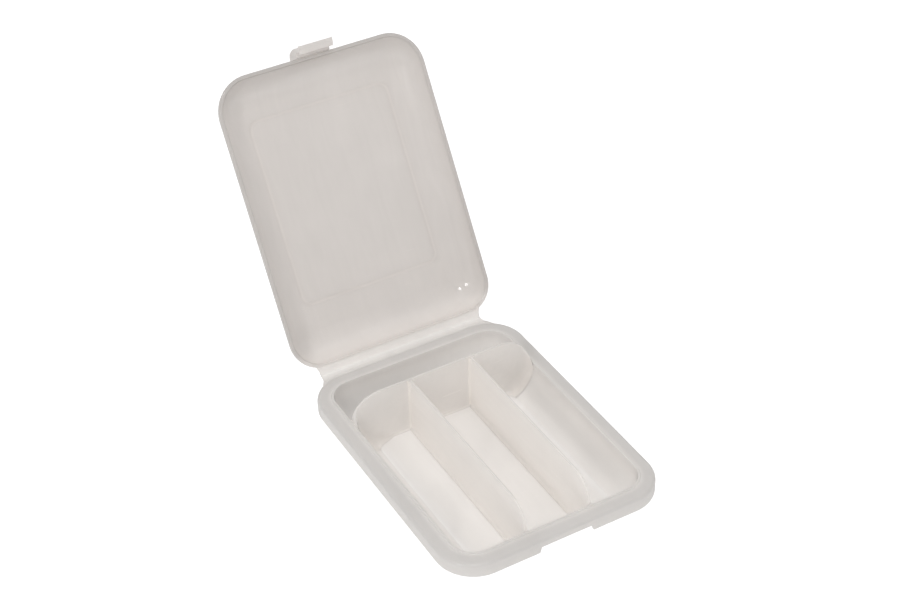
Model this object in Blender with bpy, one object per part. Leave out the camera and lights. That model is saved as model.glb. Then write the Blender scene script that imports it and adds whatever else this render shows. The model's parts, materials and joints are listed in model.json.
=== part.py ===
"""Hinged compartment box moulded in translucent polypropylene.

The box rests on its underside.  X runs along the hinge, +Y points to the hinge at the
back, +Z is up, and the origin is the centre of the underside.  The lid is modelled
closed and then swung open about the hinge's fold line, which is how the box rests.
"""
import math

import bmesh
import bpy
from mathutils import Matrix, Vector

MM = 0.001

# Driving dimensions
OUTER_X = 91.2 * MM            # width of the rim
OUTER_Y = 121.2 * MM           # length of the rim, latch to hinge
OUTER_RADIUS = 15.6 * MM       # corner radius of the rim, seen from above
WALL = 1.2 * MM                # moulded wall
DIVIDER = 1.1 * MM             # thickness of the upright dividers
GAP = 0.3 * MM                 # clearance between neighbouring pieces
RIM_WIDTH = 6.6 * MM           # rim's outer edge to the inside of the lip
BASE_DEPTH = 14.0 * MM         # floor to the top of the lip
FLOOR_INSET = 8.5 * MM         # lip to floor crease, taken up by the curved wall
DIVIDER_RISE = 10.4 * MM       # dividers stand this far above the lip
SKIRT_DROP = 6.4 * MM          # lip to the bottom edge of the skirt
LANE_PITCH = 27.0 * MM         # distance between the two lengthwise dividers
PARTITION_Y = 31.0 * MM        # front face of the crosswise partition
OPEN_ANGLE = math.radians(121.6)

# Rim of the base
FLOOR_TOP = WALL
LIP_TOP = FLOOR_TOP + BASE_DEPTH
LIP_WIDTH = 0.8 * MM
LIP_STEP = 0.6 * MM
LIP_DRAFT = 0.3 * MM
FLANGE_TOP = LIP_TOP - LIP_STEP
FLANGE_THICK = 1.3 * MM
EDGE_ROUND = 0.8 * MM
SKIRT_BOTTOM = LIP_TOP - SKIRT_DROP

# Lid, measured with the box closed
LID_X = 90.0 * MM
LID_FRONT = -58.4 * MM         # the lid stops short of the rim, behind the latch tab
LID_BACK = 60.4 * MM
LID_Y = LID_BACK - LID_FRONT
LID_CENTRE_Y = (LID_BACK + LID_FRONT) / 2
LID_RADIUS = 15.0 * MM
LID_SEAT = FLANGE_TOP + GAP
LID_BAND = 0.8 * MM            # straight part of the lid's side above its edge
LID_LEAN = math.radians(8.0)   # the side leans in by this much where its curve starts
LID_HEADROOM = 0.5 * MM
CEILING = LIP_TOP + DIVIDER_RISE + LID_HEADROOM
LID_TOP = CEILING + WALL + 0.2 * MM
LID_EDGE_CHAMFER = 0.2 * MM

# Raised frame on top of the lid
FRAME_X = 62.0 * MM
FRAME_Y = 77.2 * MM
FRAME_CENTRE_Y = -1.6 * MM
FRAME_RADIUS = 4.0 * MM
FRAME_WIDTH = 1.0 * MM
FRAME_HEIGHT = 0.3 * MM

# Living hinge: two thin leaves either side of the fold line
LEAF_REACH = 2.6 * MM          # rim to fold line
LEAF_HALF_X = 36.5 * MM
LEAF_THICK = 0.9 * MM
FOLD_Y = OUTER_Y / 2 + LEAF_REACH
FOLD_Z = FLANGE_TOP + GAP / 2

# Latch tab and the notch that it snaps into
TAB_WIDTH = 14.4 * MM
TAB_THICK = 1.45 * MM
TAB_GAP = 0.35 * MM
TAB_ROOT_RISE = 4.4 * MM       # root's height above the lid's straight band
TAB_SHELF_RISE = 0.9 * MM      # underside of the tab's forward shelf, above the flange
NIB_REACH = 1.25 * MM
NIB_HEIGHT = 1.0 * MM
NOTCH_WIDTH = 22.2 * MM
NOTCH_HEIGHT = 2.6 * MM

CORNER_STEPS = 8
ARC_STEPS = 7


def clear_scene():
    """Remove every object that the open file already holds."""
    for obj in list(bpy.data.objects):
        bpy.data.objects.remove(obj, do_unlink=True)


def plastic(name, colour, roughness):
    """Moulded plastic with one colour and one roughness."""
    material = bpy.data.materials.new(name)
    material.use_nodes = True
    shader = material.node_tree.nodes["Principled BSDF"]
    shader.inputs["Base Color"].default_value = (*colour, 1.0)
    shader.inputs["Roughness"].default_value = roughness
    shader.inputs["Metallic"].default_value = 0.0
    return material


def arc(centre, radii, start, end, steps=ARC_STEPS):
    """Points on an elliptical arc, from start to end in radians."""
    points = []
    for step in range(steps + 1):
        angle = start + (end - start) * step / steps
        x = centre[0] + radii[0] * math.cos(angle)
        z = centre[1] + radii[1] * math.sin(angle)
        points.append((x, z))
    return points


def rounded_rectangle(half_x, half_y, radius):
    """Anticlockwise outline of a rounded rectangle about the origin."""
    outline = []
    corners = [(1, 1), (-1, 1), (-1, -1), (1, -1)]
    for quarter, (sign_x, sign_y) in enumerate(corners):
        centre = (sign_x * (half_x - radius), sign_y * (half_y - radius))
        start = quarter * math.pi / 2
        outline += arc(centre, (radius, radius), start, start + math.pi / 2, CORNER_STEPS)
    return outline


def ring_points(half_x, half_y, radius, section_point, centre_y):
    """The outline at one point of a wall section, given as (inset, height)."""
    inset, height = section_point
    outline = rounded_rectangle(half_x - inset, half_y - inset, radius - inset)
    return [Vector((x, y + centre_y, height)) for x, y in outline]


def swept_wall(name, section, half_x, half_y, radius, closed=False, centre_y=0.0):
    """Carry a wall section around a rounded rectangle.

    An open section is filled at both ends, which makes a tray or a lid.  A closed
    section makes a frame.
    """
    bm = bmesh.new()
    first = [bm.verts.new(p) for p in ring_points(half_x, half_y, radius, section[0], centre_y)]
    count = len(first)
    first_edges = [bm.edges.new((first[i], first[(i + 1) % count])) for i in range(count)]
    edges = first_edges
    ring = first
    for section_point in section[1:]:
        grown = bmesh.ops.extrude_edge_only(bm, edges=edges)["geom"]
        edges = [item for item in grown if isinstance(item, bmesh.types.BMEdge)
                 and all(v in grown for v in item.verts)]
        following = {}
        for vert in ring:
            for edge in vert.link_edges:
                other = edge.other_vert(vert)
                if other in grown:
                    following[vert] = other
        ring = [following[vert] for vert in ring]
        for vert, point in zip(ring, ring_points(half_x, half_y, radius, section_point, centre_y)):
            vert.co = point
    if closed:
        bmesh.ops.bridge_loops(bm, edges=first_edges + edges)
    else:
        bmesh.ops.contextual_create(bm, geom=first_edges)
        bmesh.ops.contextual_create(bm, geom=edges)
    bmesh.ops.recalc_face_normals(bm, faces=bm.faces)
    mesh = bpy.data.meshes.new(name)
    bm.to_mesh(mesh)
    bm.free()
    return bpy.data.objects.new(name, mesh)


def flat_plate(name, outline, thickness, rotation, location):
    """A flat outline given thickness, then stood up and moved into place."""
    curve = bpy.data.curves.new(name, "CURVE")
    curve.dimensions = "2D"
    curve.fill_mode = "BOTH"
    curve.extrude = thickness / 2
    spline = curve.splines.new("POLY")
    spline.points.add(len(outline) - 1)
    for point, (x, y) in zip(spline.points, outline):
        point.co = (x, y, 0.0, 1.0)
    spline.use_cyclic_u = True
    plate = bpy.data.objects.new(name, curve)
    plate.rotation_euler = rotation
    plate.location = location
    weld = plate.modifiers.new("Weld", "WELD")
    weld.merge_threshold = 0.00001
    return plate


def block(name, low, high):
    """A box between two corners."""
    bm = bmesh.new()
    bmesh.ops.create_cube(bm, size=1.0)
    size = Vector(high) - Vector(low)
    centre = (Vector(high) + Vector(low)) / 2
    bmesh.ops.scale(bm, vec=size, verts=bm.verts)
    bmesh.ops.translate(bm, vec=centre, verts=bm.verts)
    mesh = bpy.data.meshes.new(name)
    bm.to_mesh(mesh)
    bm.free()
    return bpy.data.objects.new(name, mesh)


def add_boolean(piece, tool, operation):
    """Cut a tool out of a piece, or join it on, and hide the tool."""
    cut = piece.modifiers.new(operation.title(), "BOOLEAN")
    cut.operation = operation
    cut.object = tool
    cut.solver = "EXACT"
    tool.hide_render = True
    tool.display_type = "WIRE"


def smooth(piece, angle=math.radians(35)):
    """Smooth shading that keeps the moulding's crisp edges."""
    piece.data.shade_smooth()
    piece.data.set_sharp_from_angle(angle=angle)


def wall_arc():
    """Centre and radius of the tray's curved inner wall, across X and above the floor."""
    radius = (FLOOR_INSET ** 2 + BASE_DEPTH ** 2) / (2 * FLOOR_INSET)
    return OUTER_X / 2 - RIM_WIDTH - radius, radius


def as_insets(section):
    """Turn (distance from the centre, height) across X into (inset, height)."""
    return [(OUTER_X / 2 - x, z) for x, z in section]


def make_base_tray():
    """Tray with a curved wall, a raised lip, a flange and a turned-down skirt."""
    centre, radius = wall_arc()
    floor_angle = -math.asin(BASE_DEPTH / radius)
    outer_radius = radius + WALL
    flange_under = FLANGE_TOP - FLANGE_THICK
    under_angle = math.asin((flange_under - LIP_TOP) / outer_radius)
    foot_angle = -math.asin(LIP_TOP / outer_radius)
    rim = OUTER_X / 2
    lip_inside = rim - RIM_WIDTH
    section = arc((centre, LIP_TOP), (radius, radius), floor_angle, 0.0)
    section.append((lip_inside + LIP_WIDTH, LIP_TOP))
    section.append((lip_inside + LIP_WIDTH + LIP_DRAFT, FLANGE_TOP))
    edge_centre = (rim - EDGE_ROUND, FLANGE_TOP - EDGE_ROUND)
    section += arc(edge_centre, (EDGE_ROUND, EDGE_ROUND), math.pi / 2, 0.0, 3)
    section.append((rim, SKIRT_BOTTOM))
    section.append((rim - WALL, SKIRT_BOTTOM))
    section.append((rim - WALL, flange_under))
    section += arc((centre, LIP_TOP), (outer_radius, outer_radius), under_angle, foot_angle)
    tray = swept_wall("base_tray", as_insets(section), OUTER_X / 2, OUTER_Y / 2, OUTER_RADIUS)
    smooth(tray)
    return tray


def make_notch_cutter():
    """Block that opens the notch in the front of the skirt."""
    front = -OUTER_Y / 2
    low = (-NOTCH_WIDTH / 2, front - WALL, SKIRT_BOTTOM - WALL)
    high = (NOTCH_WIDTH / 2, front + 2 * WALL, SKIRT_BOTTOM + NOTCH_HEIGHT)
    return block("notch_cutter", low, high)


def upright_end(sign, reach):
    """End of an upright plate: it follows the tray's wall, then the lid's corner.

    The points run from the floor to the plate's top edge.  reach is the distance from
    the plate's middle to the inside of the lip.
    """
    radius = wall_arc()[1]
    centre = reach - radius
    inner = radius - GAP
    bottom_angle = -math.asin((BASE_DEPTH - GAP) / inner)
    lower = arc((centre, LIP_TOP), (inner, inner), bottom_angle, 0.0)
    round_over = 11.0 * MM
    upper_centre = (centre + inner - round_over, LIP_TOP)
    upper = arc(upper_centre, (round_over, DIVIDER_RISE), 0.0, math.pi / 2)
    return [(sign * x, z) for x, z in lower + upper[1:]]


def make_divider(name, x):
    """Lengthwise divider between the front of the tray and the partition."""
    front = upright_end(-1, OUTER_Y / 2 - RIM_WIDTH)
    back = PARTITION_Y - GAP
    outline = front + [(back, LIP_TOP + DIVIDER_RISE), (back, FLOOR_TOP + GAP)]
    stand_along_y = (math.pi / 2, 0.0, math.pi / 2)
    return flat_plate(name, outline, DIVIDER, stand_along_y, (x, 0.0, 0.0))


def make_partition():
    """Crosswise partition in front of the rear compartment."""
    reach = OUTER_X / 2 - RIM_WIDTH
    left = upright_end(-1, reach)
    right = upright_end(1, reach)
    outline = left + right[::-1]
    stand_along_x = (math.pi / 2, 0.0, 0.0)
    place = (0.0, PARTITION_Y + DIVIDER / 2, 0.0)
    return flat_plate("rear_partition", outline, DIVIDER, stand_along_x, place)


def lid_curve():
    """Inset and height of the centre of the lid's side curve, and its outer radius.

    The curve leans in by LID_LEAN at the top of the straight band and ends level at the
    top of the lid.
    """
    band_top = LID_SEAT + LID_BAND
    radius = (LID_TOP - band_top) / (1.0 - math.sin(LID_LEAN))
    return radius * math.cos(LID_LEAN), LID_TOP - radius, radius


def make_lid_shell():
    """Shallow domed lid, modelled closed."""
    inset, height, outer_radius = lid_curve()
    inner_radius = CEILING - height
    inner = arc((inset, height), (inner_radius, inner_radius), math.pi / 2, math.pi - LID_LEAN)
    outer = arc((inset, height), (outer_radius, outer_radius), math.pi - LID_LEAN, math.pi / 2)
    section = list(inner)
    section.append((inner[-1][0], LID_SEAT))
    section.append((LID_EDGE_CHAMFER, LID_SEAT))
    section.append((0.0, LID_SEAT + LID_EDGE_CHAMFER))
    section += outer
    lid = swept_wall("lid_shell", section, LID_X / 2, LID_Y / 2, LID_RADIUS,
                     centre_y=LID_CENTRE_Y)
    smooth(lid)
    return lid


def make_label_frame():
    """Raised frame that is joined on to the top of the lid."""
    top = LID_TOP + FRAME_HEIGHT
    root = LID_TOP - WALL / 2
    section = [(0.0, root), (0.0, top), (FRAME_WIDTH, top), (FRAME_WIDTH, root)]
    return swept_wall("label_frame_tool", section, FRAME_X / 2, FRAME_Y / 2, FRAME_RADIUS,
                      closed=True, centre_y=FRAME_CENTRE_Y)


def make_hinge_leaf(name, low_z, outline):
    """One leaf of the living hinge, modelled closed, and the prism that trims it.

    outline is the (half x, half y, radius, centre y) of the rim that the leaf grows from.
    The prism is that outline, a gap larger, so the leaf's inner side follows the rim.
    """
    low = (-LEAF_HALF_X, OUTER_Y / 2 - OUTER_RADIUS / 2, low_z)
    high = (LEAF_HALF_X, FOLD_Y - GAP / 2, low_z + LEAF_THICK)
    leaf = block(name, low, high)
    section = [(0.0, 0.0), (0.0, LID_TOP)]
    half_x, half_y, radius, centre_y = outline
    trimmer = swept_wall(name + "_trimmer", section, half_x + GAP, half_y + GAP,
                         radius + GAP, centre_y=centre_y)
    add_boolean(leaf, trimmer, "DIFFERENCE")
    return leaf, trimmer


def make_latch_tab():
    """Hooked tab in front of the lid, modelled closed; its outline lies across Y and Z.

    It grows from the lid's side, reaches forward over the base's flange and turns down
    in front of the skirt.
    """
    inset, height, lid_radius = lid_curve()
    inner_radius = lid_radius + TAB_GAP
    band_top = LID_SEAT + LID_BAND
    root_angle = math.pi - math.asin((band_top + TAB_ROOT_RISE - height) / inner_radius)
    centre = (LID_FRONT + inset, height)
    inside = arc(centre, (inner_radius, inner_radius), root_angle, math.pi - LID_LEAN, 4)
    shelf = FLANGE_TOP + TAB_SHELF_RISE
    face = -OUTER_Y / 2 - TAB_GAP
    back = face - TAB_THICK
    nib_top = SKIRT_BOTTOM + NOTCH_HEIGHT - GAP
    nib_bottom = nib_top - NIB_HEIGHT
    nib = [
        (inside[-1][0], shelf),
        (face, shelf),
        (face, nib_top),
        (face + NIB_REACH, nib_top),
        (face + NIB_REACH, nib_top - 0.3 * NIB_HEIGHT),
        (face, nib_bottom),
    ]
    grip = [
        (face - 0.4 * TAB_THICK, nib_bottom - 0.2 * TAB_THICK),
        (back - 0.4 * TAB_THICK, nib_bottom - 0.25 * TAB_THICK),
        (back - 0.4 * TAB_THICK, nib_bottom + 0.2 * TAB_THICK),
        (back, nib_bottom + 0.6 * TAB_THICK),
    ]
    root_y, root_z = inside[0]
    shoulder_centre = (root_y - 0.3 * TAB_THICK, shelf)
    shoulder_radii = (shoulder_centre[0] - back, root_z - shelf)
    shoulder = arc(shoulder_centre, shoulder_radii, math.pi, math.pi / 2, 4)
    outline = inside + nib + grip + shoulder
    stand_along_y = (math.pi / 2, 0.0, math.pi / 2)
    return flat_plate("latch_tab", outline, TAB_WIDTH, stand_along_y, (0.0, 0.0, 0.0))


def latch_pivot_place():
    """The line about which the tab flexes, at the top of its root, with the box closed."""
    return (0.0, LID_FRONT, LID_SEAT + LID_BAND + TAB_ROOT_RISE)


def add_pivot(name, place, collection):
    """An empty on a joint's axis."""
    pivot = bpy.data.objects.new(name, None)
    pivot.empty_display_size = 5.0 * MM
    pivot.location = place
    collection.objects.link(pivot)
    return pivot


def hang(child, pivot, pivot_place):
    """Parent a piece to a pivot and leave it where it was modelled."""
    child.parent = pivot
    child.matrix_parent_inverse = Matrix.Translation(pivot_place).inverted()


def build():
    clear_scene()
    box = bpy.data.collections.new("compartment_box")
    tools = bpy.data.collections.new("tools")
    bpy.context.scene.collection.children.link(box)
    bpy.context.scene.collection.children.link(tools)

    base_plastic = plastic("base_polypropylene", (0.73, 0.69, 0.65), 0.35)
    divider_plastic = plastic("divider_polypropylene", (0.70, 0.66, 0.62), 0.4)
    lid_plastic = plastic("lid_polypropylene", (0.63, 0.59, 0.55), 0.35)
    hinge_plastic = plastic("hinge_polypropylene", (0.75, 0.72, 0.68), 0.3)

    tray = make_base_tray()
    notch = make_notch_cutter()
    add_boolean(tray, notch, "DIFFERENCE")
    left_divider = make_divider("left_divider", -LANE_PITCH / 2)
    right_divider = make_divider("right_divider", LANE_PITCH / 2)
    partition = make_partition()
    base_rim = (OUTER_X / 2, OUTER_Y / 2, OUTER_RADIUS, 0.0)
    lid_rim = (LID_X / 2, LID_Y / 2, LID_RADIUS, LID_CENTRE_Y)
    base_leaf, base_trimmer = make_hinge_leaf("base_hinge_leaf", FLANGE_TOP - LEAF_THICK, base_rim)
    lid_leaf, lid_trimmer = make_hinge_leaf("lid_hinge_leaf", LID_SEAT, lid_rim)
    lid = make_lid_shell()
    label_frame = make_label_frame()
    add_boolean(lid, label_frame, "UNION")
    latch = make_latch_tab()

    finishes = {
        tray: base_plastic,
        left_divider: divider_plastic,
        right_divider: divider_plastic,
        partition: divider_plastic,
        base_leaf: hinge_plastic,
        lid_leaf: hinge_plastic,
        lid: lid_plastic,
        latch: lid_plastic,
    }
    for piece, finish in finishes.items():
        piece.data.materials.append(finish)
        box.objects.link(piece)
    for tool in (notch, base_trimmer, lid_trimmer, label_frame):
        tools.objects.link(tool)

    fold_place = (0.0, FOLD_Y, FOLD_Z)
    lid_pivot = add_pivot("lid_pivot", fold_place, box)
    latch_pivot = add_pivot("latch_pivot", latch_pivot_place(), box)
    hang(latch, latch_pivot, latch_pivot_place())
    for piece in (lid, label_frame, lid_leaf, lid_trimmer, latch_pivot):
        hang(piece, lid_pivot, fold_place)
    lid_pivot.rotation_euler.x = -OPEN_ANGLE


build()
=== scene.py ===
"""Looks for the hinged compartment box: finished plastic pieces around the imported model.

All sizes are in millimetres; to_object() turns them into metres.  The lid's pieces are
modelled with the box closed, in the same axes as the base, and are then swung open about
the hinge's axis.
"""
import json
import math

import bmesh
import bpy
from mathutils import Matrix, Vector


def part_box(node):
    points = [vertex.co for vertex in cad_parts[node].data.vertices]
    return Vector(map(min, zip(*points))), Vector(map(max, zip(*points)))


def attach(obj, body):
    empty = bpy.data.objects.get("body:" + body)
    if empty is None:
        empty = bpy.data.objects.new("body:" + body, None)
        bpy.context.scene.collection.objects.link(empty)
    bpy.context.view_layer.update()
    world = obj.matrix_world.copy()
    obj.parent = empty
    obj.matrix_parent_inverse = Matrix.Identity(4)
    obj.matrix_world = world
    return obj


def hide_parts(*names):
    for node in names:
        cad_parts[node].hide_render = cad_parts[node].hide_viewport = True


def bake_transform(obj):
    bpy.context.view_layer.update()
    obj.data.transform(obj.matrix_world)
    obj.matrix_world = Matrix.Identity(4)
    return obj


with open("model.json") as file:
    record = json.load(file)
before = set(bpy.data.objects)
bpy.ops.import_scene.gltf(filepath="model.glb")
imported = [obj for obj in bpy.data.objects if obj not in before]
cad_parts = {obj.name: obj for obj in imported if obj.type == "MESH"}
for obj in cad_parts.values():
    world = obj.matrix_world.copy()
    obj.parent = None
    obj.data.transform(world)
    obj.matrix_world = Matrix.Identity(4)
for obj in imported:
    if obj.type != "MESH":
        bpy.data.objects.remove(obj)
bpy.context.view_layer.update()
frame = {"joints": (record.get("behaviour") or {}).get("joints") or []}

MM = 0.001
MERGE_DISTANCE = 0.001
SMALLEST_RADIUS = 1.5

# ----------------------------------------
# Sizes, in millimetres, and angles in degrees.  The tray's overall size and the joints come
# from the frame.
# ----------------------------------------


def in_mm(values):
    """The frame's metres as millimetres."""
    return [value / MM for value in values]


TRAY_HIGH = in_mm(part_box("base_tray")[1])
JOINTS = {joint["name"]: joint for joint in frame["joints"]}
HINGE = JOINTS["lid_hinge"]
FOLD = Vector(in_mm(HINGE["pos_m"]))
OPEN_DEGREES = HINGE["range_deg"][1]

HALF_X = TRAY_HIGH[0]
HALF_Y = TRAY_HIGH[1]
LIP_TOP = TRAY_HIGH[2]
OUTER_RADIUS = 15.6
WALL = 1.2
FLOOR_TOP = WALL
UNDERSIDE_RECESS = 0.3
UNDERSIDE_EASE = 0.03
# The recess, as (share of the way to the middle, rise)
UNDERSIDE_STEP = [(0.02, 0.0), (0.03, UNDERSIDE_EASE), (0.045, UNDERSIDE_RECESS - UNDERSIDE_EASE),
                  (0.055, UNDERSIDE_RECESS)]
FLOOR_RINGS = 7

# Rim of the base
RIM_WIDTH = 6.6
LIP_WIDTH = 0.8
LIP_STEP = 0.6
LIP_LEAN = 0.25
LIP_ROUND = 0.3
FLANGE_TOP = LIP_TOP - LIP_STEP
FLANGE_THICK = 1.3
FLANGE_ROUND = 1.4
UNDER_FLANGE_ROUND = 0.6
SKIRT_ROUND = 0.4
SKIRT_DROP = 6.4
SKIRT_BOTTOM = LIP_TOP - SKIRT_DROP
LIP_REACH_X = HALF_X - RIM_WIDTH
LIP_REACH_Y = HALF_Y - RIM_WIDTH
FLOOR_INSET = 8.5
FLOOR_EDGE = 1.2
FLOOR_ROUND = 1.0
WALL_TOP_ROUND = 0.7
HEEL_ROUND = 0.8
HEEL_WIDTH = 1.4
DEPTH = LIP_TOP - FLOOR_TOP
WALL_TOP_ANGLE = -2.0
WALL_STEPS = 14
WALL_RADIUS = (FLOOR_INSET ** 2 + DEPTH ** 2) / (2 * FLOOR_INSET)

# Notch in the front skirt
NOTCH_HALF = 11.1
NOTCH_HEIGHT = 2.6
NOTCH_EASE = 0.9
NOTCH_MARGIN = 0.3
NOTCH_STEPS = 12

# Uprights
DIVIDER_RISE = 10.4
UPRIGHT_TOP = LIP_TOP + DIVIDER_RISE
UPRIGHT_THICK = 1.1
LANE_PITCH = 27.0
PARTITION_Y = 31.0
END_ROUND = 11.0
PARTITION_ROUND = 13.0
CORNER_FILLET = 5.0
FOOT_FILLET = 1.1
FOOT_DRAFT = 1.12
TOP_DRAFT = 0.92
TOP_ROUND = 0.32
BURY = 0.04
# Places of the points within a foot fillet and a top rounding, as shares of it
FOOT_SHARES = (0.0, 0.06, 0.2, 0.45, 0.75, 1.0)
TOP_SHARES = (1.0, 0.6, 0.3, 0.1, 0.0)
EDGE_SHARE = 0.3
END_STEPS = 22
HEIGHT_STEPS = 8
STATION_SPACING = 4.0

# Lid, closed
LID_HALF_X = 45.0
LID_FRONT = -58.4
LID_BACK = 60.4
LID_HALF_Y = (LID_BACK - LID_FRONT) / 2
LID_CENTRE_Y = (LID_BACK + LID_FRONT) / 2
LID_RADIUS = 15.0
LID_BACK_RADIUS = 12.0
LID_GAP = 0.3
LID_SEAT = FLANGE_TOP + LID_GAP
LID_BAND = 0.8
LID_LEAN = 8.0
LID_HEADROOM = 0.5
LID_THICK = 1.4
LID_EDGE_ROUND = 0.45
CEILING = UPRIGHT_TOP + LID_HEADROOM
LID_TOP = CEILING + LID_THICK
PANEL_BOW = 0.25
PANEL_MARGIN = 0.2
LID_STEPS = 18
LID_RINGS = 12

# Raised label frame on the outside of the lid
FRAME_HALF_X = 31.0
FRAME_HALF_Y = 38.6
FRAME_CENTRE_Y = -1.6
FRAME_RADIUS = 4.0
FRAME_HEIGHT = 0.3
FRAME_WIDTH = 1.0
FRAME_TOP_WIDTH = 0.4
FRAME_ROUND = 0.25
FRAME_BURY = 0.1

# Living hinge
LEAF_HALF_X = 36.5
LEAF_THICK = 0.9
WEB_REACH = 5.6
WEB_FLARE = 3.0
WEB_ROOT = 0.6
WEB_ROOT_IN_RIM = 1.3
WEB_COLUMNS = 37
FOLD_THICK = 0.36
FOLD_FLAT = 0.15
FOLD_STEPS = 8
FOLD_DROP = FOLD.z - (FLANGE_TOP - LEAF_THICK / 2)
FOLD_END = 90.0 - OPEN_DEGREES
# Each leaf's thickness, by its share of the way: rim to fold, then fold to lid
BASE_LEAF = ((0.0, LEAF_THICK), (0.3, 0.95), (0.55, 0.95), (0.66, 0.45), (0.82, 0.38), (1.0, FOLD_THICK))
LID_LEAF = ((0.0, FOLD_THICK), (0.12, 0.38), (0.3, 0.45), (0.42, 0.95), (0.7, 0.95), (1.0, LEAF_THICK))

# Latch tab, closed
TAB_HALF_X = 7.2
TAB_THICK = 1.45
TAB_LIP_SHARE = 0.4
TAB_GAP = 0.35
TAB_ROOT_RISE = 4.4
TAB_SHELF_RISE = 0.9
NIB_REACH = 1.25
NIB_HEIGHT = 1.0
NIB_GAP = 0.3
NIB_ROUND = 0.3
NIB_CORNER_ROUND = 0.25
NIB_FOOT_ROUND = 0.4
TAB_ROUND = 0.2
TAB_HEEL_ROUND = 1.0
SHELF_ROUND = 0.6
TAB_EDGE = 0.18
TAB_EDGE_STEPS = 4
TAB_COLUMNS = 8
TAB_ROOT_FLARE = 1.2

# Plastic.  A finish is the share of light let through diffusely, the share seen through
# and the roughness.
BASE_FINISH = (0.5, 0.14, 0.13)
DIVIDER_FINISH = (0.5, 0.48, 0.20)
PARTITION_FINISH = (0.5, 0.35, 0.14)
LID_FINISH = (0.5, 0.17, 0.13)
LATCH_FINISH = (0.5, 0.1, 0.30)
HINGE_FINISH = (0.5, 0.25, 0.34)
# All pieces are one plastic: the divider and partition tints are painted lighter and the lid's tint painted
# darker than the base's, as painted light and shade for how light falls on each piece.
BASE_TINT = (0.891, 0.873, 0.856)
DIVIDER_TINT_PAINTED_LIGHTER = (0.985, 0.967, 0.949)
LID_TINT_PAINTED_DARKER = (0.796, 0.769, 0.748)
PARTITION_TINT_PAINTED_LIGHTER = (0.936, 0.919, 0.902)
LATCH_TINT = (0.86, 0.835, 0.815)
# Painted shade on the base's rim, outside the lip
RIM_PAINTED_SHADE = 0.1
SKIRT_FADE = 3.0
# Painted shade in the rear compartment, strongest towards -X
REAR_PAINTED_SHADE = 0.12
REAR_FADE_Y = (PARTITION_Y + 8.0, PARTITION_Y + 13.0)
REAR_FADE_X = (-15.0, 36.0)
# Painted shade on the inside of the tray, from just above the floor up
WALL_PAINTED_SHADE = 0.07
WALL_FADE = (FLOOR_TOP + 0.5, FLOOR_TOP + 4.0)
# Painted glow, as emission, in tight corners
CORNER_PAINTED_GLOW = 0.16
CORNER_REACH = 3.0
# Painted shade along the lid's lower edge
LID_RIM_PAINTED_SHADE = 0.1
# Painted shade along the uprights' top edges and in the corners at their feet
TOP_EDGE_PAINTED_SHADE = 0.05
FOOT_PAINTED_SHADE = 0.08
EDGE_FADE = (0.2, 0.8)
CLOUD_SWING = 0.03
FLOW_SWING = 0.03
# Painted shade at glancing angles
LIMB_START = 0.66
LIMB_PAINTED_SHADE = 0.26
# Painted light in the lid's cove by the hinge
COVE_PAINTED_LIGHT = 0.09
COVE_WIDTH = 8.0
LID_RIM_FADE = 2.2
# Paler convex edges: partly stress whitening, partly a painted highlight
EDGE_WEAR_AND_HIGHLIGHT = 0.02
WAVE_HEIGHT = 0.05
GRAIN_HEIGHT = 0.0012
SCUFF_DEPTH = 0.006
FRAME_LINE_INSET = 0.5
FRAME_LINE_WIDTH = 0.9
FRAME_LINE_TONE = 0.07
REFRACTIVE_INDEX = 1.49
ROUGHNESS_SWING = 0.08
GRAIN_ROUGHNESS = 0.04
SCUFF_ROUGHNESS = 0.22
EDGE_WEAR_AND_HIGHLIGHT_RANGE = (0.52, 0.62)
# Patterns, as (scale, detail, roughness, distortion), and how far some are drawn out
CLOUD_PATTERN = (0.035, 3.0, 0.5, 0.6)
FLOW_PATTERN = (1.0, 4.0, 0.55, 1.2)
FLOW_STRETCH = (0.22, 0.03, 0.22)
WAVE_PATTERN = (0.09, 2.0)
GRAIN_PATTERN = (1.7, 3.0, 0.6)
SCUFF_PATTERN = (1.0, 2.0, 0.6)
SCUFF_STRETCH = (0.05, 2.2, 0.6)
SCUFF_PATCHES = (0.04, 1.0)
SCUFF_GATE = (0.4, 0.62)
SCUFF_FADE = 0.08
# Directions of the scuffs, each with the noise value above which a scuff shows
SCUFF_RUNS = ((17.0, 0.69), (-38.0, 0.70), (71.0, 0.71))

# Studio.  The floor's reach and the lamps' sizes are in metres, their powers in watts.
FLOOR_ALBEDO = 0.2
FLOOR_GLOW = 0.98
FLOOR_ROUGHNESS = 0.9
FLOOR_SPECULAR = 0.1
FLOOR_SWING = 0.006
FLOOR_REACH = 4.0
WORLD_STRENGTH = 0.49
LAMP_AIM = Vector((0.0, 40.0, 20.0))
SOFTBOX_DIRECTION = (0.10, 0.10, 0.97)
SOFTBOX_SIZE = 0.9
SOFTBOX_POWER = 1.2
SPARK_DIRECTIONS = ((-0.20, -0.47, 0.86), (-0.72, -0.43, 0.54))
SPARK_SIZE = 0.2
SPARK_POWER = 2.4
LAMP_DISTANCE = 1100.0

# Camera
CAMERA_AZIMUTH = math.radians(-28.901)
CAMERA_ELEVATION = math.radians(37.432)
CAMERA_ROLL = math.radians(-1.656)
CAMERA_DISTANCE = 778.07
CAMERA_AIM = Vector((31.0, 75.0, 15.0))
CAMERA_LENS = 74.42


# ----------------------------------------
# Outlines and sections
# ----------------------------------------


def lerp(a, b, share):
    """The value a share of the way from a to b."""
    return a + (b - a) * share


def ease(share):
    """Smooth step from 0 to 1."""
    share = min(1.0, max(0.0, share))
    return share * share * (3.0 - 2.0 * share)


def arc(centre, radii, start, end, steps):
    """Points on an elliptical arc, from start to end in degrees."""
    points = []
    for step in range(steps + 1):
        angle = math.radians(lerp(start, end, step / steps))
        points.append((centre[0] + radii[0] * math.cos(angle), centre[1] + radii[1] * math.sin(angle)))
    return points


NEARLY_STRAIGHT = math.radians(89.5)
TRIM_SHARE = 0.49


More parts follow.
